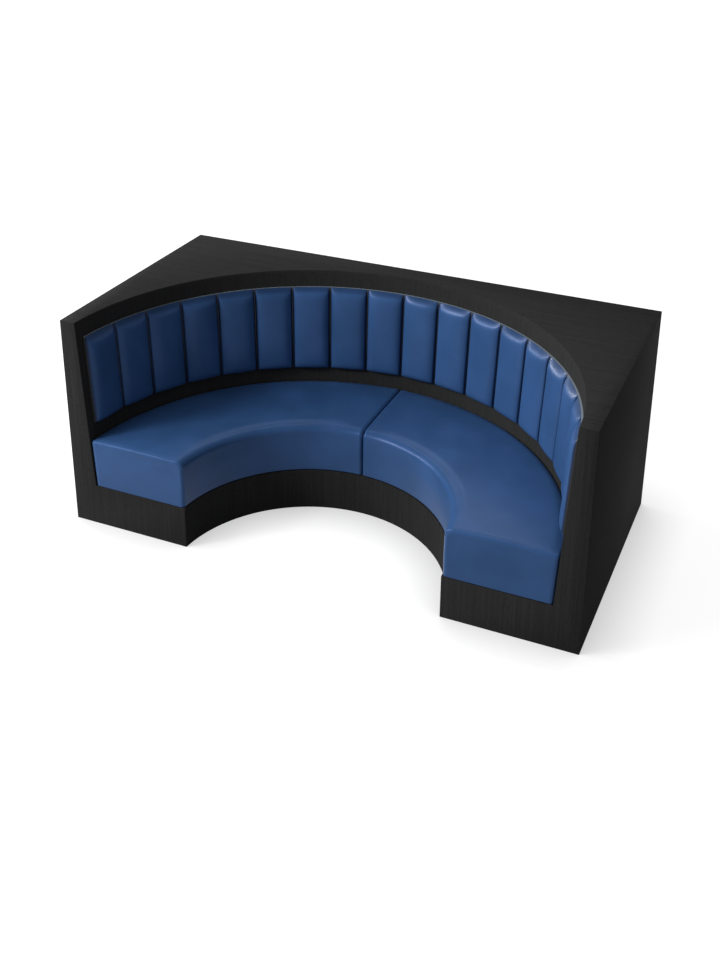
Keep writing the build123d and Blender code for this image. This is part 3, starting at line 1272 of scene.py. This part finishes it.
    def _pads(self) -> None:
        """Copy the pattern pad round the wall, with small differences from pad to pad."""
        plan = self.plan
        pattern = self._pad()
        step = math.radians(plan.backrest_angle / plan.channels)
        start = math.radians((180 - plan.backrest_angle) / 2)
        for number in range(plan.channels):
            turn = start + step * (number + 0.5) - math.pi / 2
            pad = pattern.copy()
            pad.data = pattern.data.copy()
            pad.name = pad.data.name = f"backrest_channel_{number + 1:02d}"
            bpy.context.scene.collection.objects.link(pad)
            for vertex in pad.data.vertices:
                lump = noise.noise(vertex.co * self.lumps + Vector((0, 0, self.lump_shift * number)))
                board = plan.wall_radius(vertex.co.z) - plan.backing
                depth = board - (vertex.co - plan.axis).xy.length
                pushed = self.unevenness * lump * min(1.0, depth / self.pad_thickness)
                vertex.co -= plan.directions(vertex.co)[0] * pushed
            pad.data.transform(Matrix.Translation(plan.axis) @ Matrix.Rotation(turn, 4, "Z")
                               @ Matrix.Translation(-plan.axis))
            dress(pad, self.leather, self.body, [f"channel_pad_{number + 1:02d}"])
        bpy.data.objects.remove(pattern)

    def _backing(self) -> None:
        """Make the two halves of the thin board behind the pads."""
        plan = self.plan
        low, high = plan.backrest_bottom - self.border, plan.backrest_top + self.border
        turn = 90 - plan.backrest_angle / 2 - math.degrees(self.border / plan.wall_radius(low))
        # backing board with a painted highlight on its top edge
        paint = BoardWithPaintedTopHighlight().make()
        for side in Side:
            corners = [(plan.wall_radius(height) - depth, height) for depth, height in
                       ((plan.backing, low), (0, low), (0, high), (plan.backing, high))]
            half = spun(f"backing_{side.word}", plan, corners, plan.half_sweep(side, turn),
                        self.board_steps)
            trim(half, (0, 0, 0), (-side.value, 0, 0))
            end = math.radians(turn if side is Side.RIGHT else 180 - turn)
            across = Vector((math.sin(end), -math.cos(end), 0)) * side.value
            trim(half, plan.axis, across)
            bevel_where(half, lambda a, b: all(
                min(abs(end.z - low), abs(end.z - high)) < TOUCHING
                and (end - plan.axis).xy.length < plan.wall_radius(end.z) - plan.backing / 2
                for end in (a, b)), self.border_ease)
            face_out(half)
            smooth(half)
            dress(half, paint, self.body, [f"backing_board_{side.word}"])

    def build(self) -> None:
        """Make the backing board and the pads."""
        self._backing()
        self._pads()


# The seats


@dataclass
class Seats:
    """Two loose quarter-ring cushions, each a sewn cover over foam on a plywood base."""

    plan: BoothPlan
    leather: bpy.types.Material
    bottom: float = 0.2113
    base_top: float = 0.2233
    edge_top: float = 0.452
    setback: float = 0.004
    wall_gap: float = 0.002
    joint_gap: float = 0.001
    front_gap: float = 0.002
    crown: float = 0.005
    bulge: float = 0.003
    roll_depth: float = 0.042
    roll_height: float = 0.032
    back_roll: float = 0.012
    end_roll: float = 0.016
    wrap: float = 0.007
    wrap_slope: float = 1.2
    foot_edge: float = 0.01
    face_steps: int = 44
    side_steps: int = 16
    arc_rows: int = 96
    groove: float = 0.0026
    roll_rows: int = 6
    roll_turn: float = 50.0
    back_rows: int = 3
    crown_power: float = 0.8
    underside_lift: float = 0.0004
    end_rows: int = 4
    beyond_end: tuple[float, ...] = (0.001, 0.003, 0.005, 0.010, 0.020)
    seam_ring: int = 2
    groove_ring: int = 6
    start_slack: float = 0.0015
    wall_hold: float = 0.003
    seam_radius: float = 0.0016
    stitch_length: float = 0.0052
    stitch_width: float = 0.0022
    stitch_height: float = 0.0016
    stitch_pitch: float = 0.0072
    base_inset: float = 0.0091
    base_steps: int = 94
    fill: float = 0.9
    stuffing: Stuffing = Stuffing(pressure=1.2, stiffness=20.0, frames=20, give=(0.0015, 0.0005, 0.003),
                                  even_rows=14)

    def _section(self, inset: float, slack: float) -> list[tuple[float, float]]:
        """Upright section of the cover, as radius and height.

        Args:
            inset: How far the skin is drawn in from its full size, near an end.
            slack: How much flatter than its finished size the cover starts.

        Returns:
            The section's points: front, top, back and underside.
        """
        plan = self.plan
        front = plan.bay_radius + self.setback + inset
        top = self.edge_top - inset
        deep, tall, back = self.roll_depth, self.roll_height, self.back_roll

        def back_at(height: float) -> float:
            """Radius of the back of the cover at a height."""
            return plan.wall_radius(height) - self.wall_gap - inset

        def rolled(turn: float) -> tuple[float, float]:
            """Point on the front roll, at degrees up from the front."""
            turn = math.radians(turn)
            return front + deep * (1 - math.cos(turn)), top - tall + tall * math.sin(turn)

        def back_rolled(turn: float) -> tuple[float, float]:
            """Point on the back roll, at degrees up from the back."""
            turn = math.radians(turn)
            return back_at(top) - back + back * math.cos(turn), top - back + back * math.sin(turn)

        points = []
        low = self.side_steps - self.roll_rows
        for share in [0, self.foot_edge] + [step / (low - 1) for step in range(1, low - 1)]:
            height = self.bottom + (top - tall - self.bottom) * share
            points.append((front - (self.bulge - slack) * math.sin(math.pi * share), height))
        for start, end in ((0, self.roll_turn), (self.roll_turn, 90)):
            points += [rolled(start + (end - start) * step / self.roll_rows)
                       for step in range(self.roll_rows)]
        flat = self.face_steps - self.roll_rows - self.back_rows
        reach = back_at(top) - back - front - deep
        for step in range(flat):
            share = step / flat
            rise = (self.crown - slack) * math.sin(math.pi * share) ** self.crown_power
            points.append((front + deep + reach * share, top + rise))
        points += [back_rolled(90 - 45 * step / self.back_rows) for step in range(2 * self.back_rows)]
        far = self.side_steps - self.back_rows - 1
        for share in [step / far for step in range(far)] + [1 - self.foot_edge]:
            height = top - back - (top - back - self.bottom) * share
            points.append((back_at(height), height))
        foot = (back_at(self.bottom), front)
        rim = self.wrap / (foot[0] - foot[1])
        raised_rim = rim * self.wrap_slope
        middle = self.face_steps - 4
        shares = [0, rim, raised_rim] + [step / middle for step in range(1, middle)] + [1 - raised_rim]
        for share in shares:
            raised = rim < share < 1 - rim
            points.append((foot[0] + (foot[1] - foot[0]) * share,
                           self.base_top + self.underside_lift if raised else self.bottom))
        return points

    def _ring(self, place: float, ends: tuple[float, float], inset: float,
              slack: float) -> list[Vector]:
        """Lay one section of the right-hand cover across the seat.

        Args:
            place: Share of the way from the front end to the joint.
            ends: Distances from the front end and from the joint that this way runs between.
            inset: How far the skin is drawn in from its full size.
            slack: How much flatter than its finished size the cover starts.

        Returns:
            The points of the ring.
        """
        plan = self.plan
        front = plan.front + self.front_gap + ends[0] - plan.axis.y
        lifted = self.base_top + self.underside_lift
        points = []
        for radius, height in self._section(inset, slack):
            low, high = math.asin(front / radius), math.acos((self.joint_gap + ends[1]) / radius)
            if min(ends) < self.wrap and abs(height - lifted) < TOUCHING / 10:
                height = self.bottom
            points.append(plan.around(radius, low + (high - low) * place, height))
        return points

    def _rings(self, slack: float) -> list[list[Vector]]:
        """Lay the rings of the right-hand cover, from its front end to the joint in the middle.

        Args:
            slack: How much flatter than its finished size the cover starts.

        Returns:
            The rings in order.
        """
        turns = [math.pi / 2 * step / self.end_rows for step in range(self.end_rows + 1)]
        rounded = [(self.end_roll * (1 - math.cos(turn)), self.end_roll * (1 - math.sin(turn)))
                   for turn in turns]
        rounded += [(self.end_roll + more, 0.0) for more in self.beyond_end]
        deep = rounded[-1][0]
        rings = [self._ring(0.0, (reach, deep), inset, slack) for reach, inset in rounded]
        rings += [self._ring(step / self.arc_rows, (deep, deep), 0.0, slack)
                  for step in range(1, self.arc_rows)]
        return rings + [self._ring(1.0, (deep, reach), inset, slack) for reach, inset in rounded[::-1]]

    def _cover(self) -> tuple[bpy.types.Object, int]:
        """Make the right-hand cover.

        Returns:
            The finished cover and the number of points in each of its rings.
        """
        rings = self._rings(self.start_slack)
        size = len(rings[0])
        cover = SoftShell("seat_cover_right", rings, self.face_steps, self.side_steps).build()
        hold = []
        for vertex in cover.data.vertices:
            near_wall = self.plan.wall_radius(vertex.co.z) - (vertex.co - self.plan.axis).xy.length
            low = vertex.co.z < self.base_top + 2 * self.underside_lift
            hold.append(1.0 if low or near_wall < self.wall_hold else 0.0)
        self.stuffing.swell(cover, hold, self.plan.directions, size, len(rings))
        first = self.groove_ring * size + self.side_steps - self.roll_rows // 2
        for number in range(first, first + self.face_steps + self.back_rows + 1):
            cover.data.vertices[number].co.z -= self.groove
        refine(cover)
        return cover, size

    def _path(self, cover: bpy.types.Object, size: int, row: int) -> list[Vector]:
        """Points of the finished cover along one of its rings, over its top.

        Args:
            cover: Finished cover.
            size: Number of points in a ring.
            row: Number of the ring.

        Returns:
            The points, from the foot of the front roll to the back roll.
        """
        first = row * size + self.side_steps - self.roll_rows
        return [cover.data.vertices[number].co.copy()
                for number in range(first, first + self.face_steps + self.roll_rows)]

    def _seam(self, name: str, paths: Sequence[Sequence[Vector]]) -> bpy.types.Object:
        """Make the rolled ridges where the end panels of a cover are sewn on.

        Args:
            name: Name of the piece.
            paths: Points that each ridge follows.

        Returns:
            The ridges as one mesh.
        """
        curve = bpy.data.curves.new(name, "CURVE")
        curve.dimensions = "3D"
        curve.bevel_depth = self.seam_radius
        curve.bevel_resolution = 2
        curve.use_fill_caps = True
        for path in paths:
            line = curve.splines.new("NURBS")
            line.points.add(len(path) - 1)
            for point, place in zip(line.points, path):
                point.co = (*place, 1)
            line.order_u = 3
            line.use_endpoint_u = True
        rope = bpy.data.objects.new(name, curve)
        bpy.context.scene.collection.objects.link(rope)
        only(rope)
        bpy.ops.object.convert(target="MESH")
        face_out(rope)
        bpy.ops.object.shade_smooth()
        return rope

    def _stitches(self, name: str, path: Sequence[Vector]) -> bpy.types.Object:
        """Lay a row of stitches along a line on the cover.

        Args:
            name: Name of the piece.
            path: Points that the row follows.

        Returns:
            The stitches as one mesh.
        """
        bpy.ops.object.select_all(action="DESELECT")
        bpy.ops.mesh.primitive_uv_sphere_add(segments=6, ring_count=4, radius=1,
                                             scale=(self.stitch_length / 2, self.stitch_width / 2,
                                                    self.stitch_height / 2))
        stitch = named(f"{name}_one")
        lengths = [0.0]
        for before, after in zip(path, path[1:]):
            lengths.append(lengths[-1] + (after - before).length)
        copies = []
        for count in range(int(lengths[-1] / self.stitch_pitch)):
            along = (count + 0.5) * self.stitch_pitch
            place = max(number for number, length in enumerate(lengths) if length <= along)
            place = min(place, len(path) - 2)
            share = (along - lengths[place]) / (lengths[place + 1] - lengths[place])
            direction = (path[place + 1] - path[place]).normalized()
            one = stitch.copy()
            one.data = stitch.data.copy()
            turn = direction.to_track_quat("X", "Z").to_matrix().to_4x4()
            one.data.transform(Matrix.Translation(path[place].lerp(path[place + 1], share)) @ turn)
            bpy.context.scene.collection.objects.link(one)
            copies.append(one)
        bpy.data.objects.remove(stitch)
        bpy.ops.object.select_all(action="DESELECT")
        for one in copies:
            one.select_set(True)
        bpy.context.view_layer.objects.active = copies[0]
        bpy.ops.object.join()
        row = bpy.context.object
        row.name = row.data.name = name
        bpy.ops.object.shade_smooth()
        return row

    def _base(self, side: Side) -> bpy.types.Object:
        """Make the plywood base inside the foot of one cover.

        Args:
            side: Side of the booth.

        Returns:
            The base.
        """
        plan, inset = self.plan, self.base_inset
        front = plan.bay_radius + self.setback + inset
        back = plan.wall_radius(self.bottom) - self.wall_gap - inset
        base = spun(f"seat_board_{side.word}", plan, [(front, self.bottom), (back, self.bottom),
                                                      (back, self.base_top), (front, self.base_top)],
                    plan.half_sweep(side), self.base_steps)
        trim(base, (side.value * (self.joint_gap + inset), 0, 0), (-side.value, 0, 0))
        trim(base, (0, plan.front + self.front_gap + inset, 0), (0, -1, 0))
        face_out(base)
        smooth(base)
        return base

    def _mirrored(self, piece: bpy.types.Object, name: str) -> bpy.types.Object:
        """Copy a right-hand piece for the left-hand side.

        Args:
            piece: Right-hand piece.
            name: Name of the copy.

        Returns:
            The copy, with its faces turned outwards.
        """
        other = piece.copy()
        other.data = piece.data.copy()
        other.name = other.data.name = name
        bpy.context.scene.collection.objects.link(other)
        other.data.transform(Matrix.Scale(-1, 4, Vector((1, 0, 0))))
        other.data.flip_normals()
        return other

    def build(self) -> None:
        """Make both cushions."""
        cover, size = self._cover()
        last = len(self._rings(0.0)) - 1
        seam = self._seam("seat_seam_right", [self._path(cover, size, row)
                                              for row in (self.seam_ring, last - self.seam_ring)])
        stitches = self._stitches("seat_stitches_right", self._path(cover, size, self.groove_ring))
        thread = SewingThread().make()
        plywood = BirchPlywood().make(BoardLay.FLAT)
        right = (cover, seam, stitches)
        left = [self._mirrored(piece, piece.name.replace("right", "left")) for piece in right]
        for side, parts in ((Side.RIGHT, right), (Side.LEFT, left)):
            word, body = side.word, f"{side.word}_seat"
            dress(parts[0], self.leather, body, [f"seat_cushion_{word}"])
            dress(parts[1], self.leather, body)
            dress(parts[2], thread, body)
            dress(self._base(side), plywood, body, [f"seat_base_{word}"])


# The studio


@dataclass(frozen=True)
class SoftSun:
    """Large far lamp, which lights the whole floor alike."""

    name: str
    comes_from: tuple[float, float, float]
    spread: float
    strength: float


@dataclass(frozen=True)
class Softbox:
    """One soft lamp of the studio."""

    name: str
    place: tuple[float, float, float]
    size: tuple[float, float]
    watts: float


@dataclass
class Studio:
    """Camera of the photograph, a pale floor and plain soft light."""

    place: tuple[float, float, float] = (2.041, -4.743, 3.348)
    ahead: tuple[float, float, float] = (-0.36573, 0.85184, -0.37498)
    across: tuple[float, float, float] = (0.91889, 0.39452, 0.0)
    roll: float = 0.528
    lens: float = 45.67
    sensor: float = 36.0
    shift: tuple[float, float] = (-0.0065, -0.2137)
    far_end: float = 200.0
    floor_size: float = 90.0
    floor_colour: str = "#898989"
    floor_glow: float = 0.87
    # painted contact shadow that dims the floor's glow near the booth
    painted_contact_shadow_depth: float = 0.6
    painted_contact_shadow_reach: float = 0.28
    sky_dim: float = 0.21
    sky_bright: float = 0.66
    sky_towards: tuple[float, float, float] = (-0.5, -0.2, 0.8)
    sky_turn: float = -0.6
    wall_end: float = 0.3
    ceiling_start: float = 0.6
    ceiling: float = 0.2
    suns: tuple[SoftSun, ...] = (
        SoftSun("key_sun", (-0.72, -0.5, 0.48), 22.0, 0.9),
        SoftSun("top_sun", (-0.3, 0.6, 0.74), 30.0, 0.52),
    )
    lamps: tuple[Softbox, ...] = (
        Softbox("back_left_softbox", (-6.6, 2.3, 1.8), (2.6, 0.5), 200.0),
        Softbox("left_softbox", (-5.7, -1.5, 3.3), (2.6, 0.5), 200.0),
        Softbox("front_left_softbox", (-3.9, -4.4, 4.0), (2.0, 0.4), 100.0),
        Softbox("edge_softbox", (-3.6, -3.2, 3.85), (0.9, 0.6), 125.0),
    )
    aim: tuple[float, float, float] = (0.0, -0.3, 0.7)

    def camera(self) -> None:
        """Stand the camera where the photograph was taken from."""
        ahead, across = Vector(self.ahead).normalized(), Vector(self.across).normalized()
        up = across.cross(ahead)
        turn = math.radians(self.roll)
        right = across * math.cos(turn) + up * math.sin(turn)
        upright = up * math.cos(turn) - across * math.sin(turn)
        lens = bpy.data.cameras.new("studio_camera")
        lens.lens, lens.sensor_width = self.lens, self.sensor
        lens.shift_x, lens.shift_y = self.shift
        lens.clip_end = self.far_end
        camera = bpy.data.objects.new("studio_camera", lens)
        bpy.context.scene.collection.objects.link(camera)
        rows = Matrix((right, upright, -ahead)).transposed().to_4x4()
        camera.matrix_world = Matrix.Translation(self.place) @ rows
        bpy.context.scene.camera = camera

    def _seen(self, tree: bpy.types.NodeTree) -> bpy.types.NodeSocket:
        """Tell what is seen directly, in a reflection or through glass from what only lights.

        Args:
            tree: Node tree that takes the nodes.

        Returns:
            Socket that is one for what is seen and zero for the rest.
        """
        path = add_node(tree, "ShaderNodeLightPath").outputs
        mirrored = add_node(tree, "ShaderNodeMath", {"operation": "ADD"},
                            {0: path["Is Camera Ray"], 1: path["Is Glossy Ray"]}).outputs[0]
        return add_node(tree, "ShaderNodeMath", {"operation": "ADD", "use_clamp": True},
                        {0: mirrored, 1: path["Is Transmission Ray"]}).outputs[0]

    def floor(self) -> None:
        """Lay the floor, which reads as white and takes the shadow of the booth, with a painted contact
        shadow that dims its glow near the booth.
        """
        bpy.ops.object.select_all(action="DESELECT")
        bpy.ops.mesh.primitive_plane_add(size=self.floor_size)
        floor = named("studio_floor")
        material, tree = new_material("pale_studio_floor")
        paint = add_node(tree, "ShaderNodeBsdfDiffuse", {"Color": linear(self.floor_colour)})
        # painted contact shadow: the glow dims near the booth
        painted_contact_shadow = add_node(tree, "ShaderNodeAmbientOcclusion", {"Distance": self.painted_contact_shadow_reach})
        level = add_node(tree, "ShaderNodeMapRange", {"To Min": self.floor_glow - self.painted_contact_shadow_depth,
                                                      "To Max": self.floor_glow},
                         {"Value": painted_contact_shadow.outputs["AO"]}).outputs[0]
        strength = add_node(tree, "ShaderNodeMath", {"operation": "MULTIPLY"},
                            {0: self._seen(tree), 1: level})
        glow = add_node(tree, "ShaderNodeEmission", links={"Strength": strength.outputs[0]})
        both = add_node(tree, "ShaderNodeAddShader", links={0: paint.outputs[0], 1: glow.outputs[0]})
        close_surface(tree, both.outputs[0])
        floor.data.materials.append(material)

    def _hang(self, lamp: bpy.types.Light, place: Vector, towards: Vector) -> None:
        """Put a lamp into the scene.

        Args:
            lamp: Lamp to hang.
            place: Where it hangs.
            towards: Direction that it shines in.
        """
        hung = bpy.data.objects.new(lamp.name, lamp)
        bpy.context.scene.collection.objects.link(hung)
        turn = towards.to_track_quat("-Z", "Y").to_matrix().to_4x4()
        hung.matrix_world = Matrix.Translation(place) @ turn

    def light(self) -> None:
        """Hang the suns and the softboxes, and set the soft glow of the room."""
        for far in self.suns:
            sun = bpy.data.lights.new(far.name, "SUN")
            sun.energy = far.strength
            sun.angle = math.radians(far.spread)
            self._hang(sun, Vector(far.comes_from), -Vector(far.comes_from))
        for box in self.lamps:
            lamp = bpy.data.lights.new(box.name, "AREA")
            lamp.shape = "RECTANGLE"
            lamp.size, lamp.size_y = box.size
            lamp.energy = box.watts
            self._hang(lamp, Vector(box.place), Vector(self.aim) - Vector(box.place))
        world = bpy.data.worlds.new("studio_room")
        bpy.context.scene.world = world
        world.use_nodes = True
        tree = world.node_tree
        tree.nodes.clear()
        direction = add_node(tree, "ShaderNodeTexCoord").outputs["Generated"]
        facing = add_node(tree, "ShaderNodeVectorMath", {"operation": "DOT_PRODUCT",
                                                         1: Vector(self.sky_towards).normalized()},
                          {0: direction}).outputs["Value"]
        level = add_node(tree, "ShaderNodeMapRange", {"From Min": self.sky_turn, "To Min": self.sky_dim,
                                                      "To Max": self.sky_bright},
                         {"Value": facing}).outputs[0]
        upwards = add_node(tree, "ShaderNodeSeparateXYZ", links={0: direction}).outputs[2]
        wall = add_node(tree, "ShaderNodeMapRange", {"From Min": self.wall_end,
                                                     "From Max": self.ceiling_start,
                                                     "To Min": 1.0, "To Max": self.ceiling},
                        {"Value": upwards}).outputs[0]
        strength = add_node(tree, "ShaderNodeMix", {"data_type": "FLOAT"},
                            {0: self._seen(tree), 2: level, 3: wall}).outputs[0]
        glow = add_node(tree, "ShaderNodeBackground", links={"Strength": strength})
        add_node(tree, "ShaderNodeOutputWorld", links={"Surface": glow.outputs[0]})

    def expose(self) -> None:
        """Show colours as they are written."""
        bpy.context.scene.view_settings.view_transform = "Standard"


def main() -> None:
    """Build the scene in order."""
    logging.basicConfig(level=logging.INFO, format="%(message)s")
    plan = BoothPlan()
    studio = Studio()
    studio.camera()
    studio.floor()
    studio.light()
    studio.expose()
    leather = FauxLeather().make()
    Case(plan).build()
    Backrest(plan, leather).build()
    Seats(plan, leather).build()


if __name__ == "__main__":
    main()
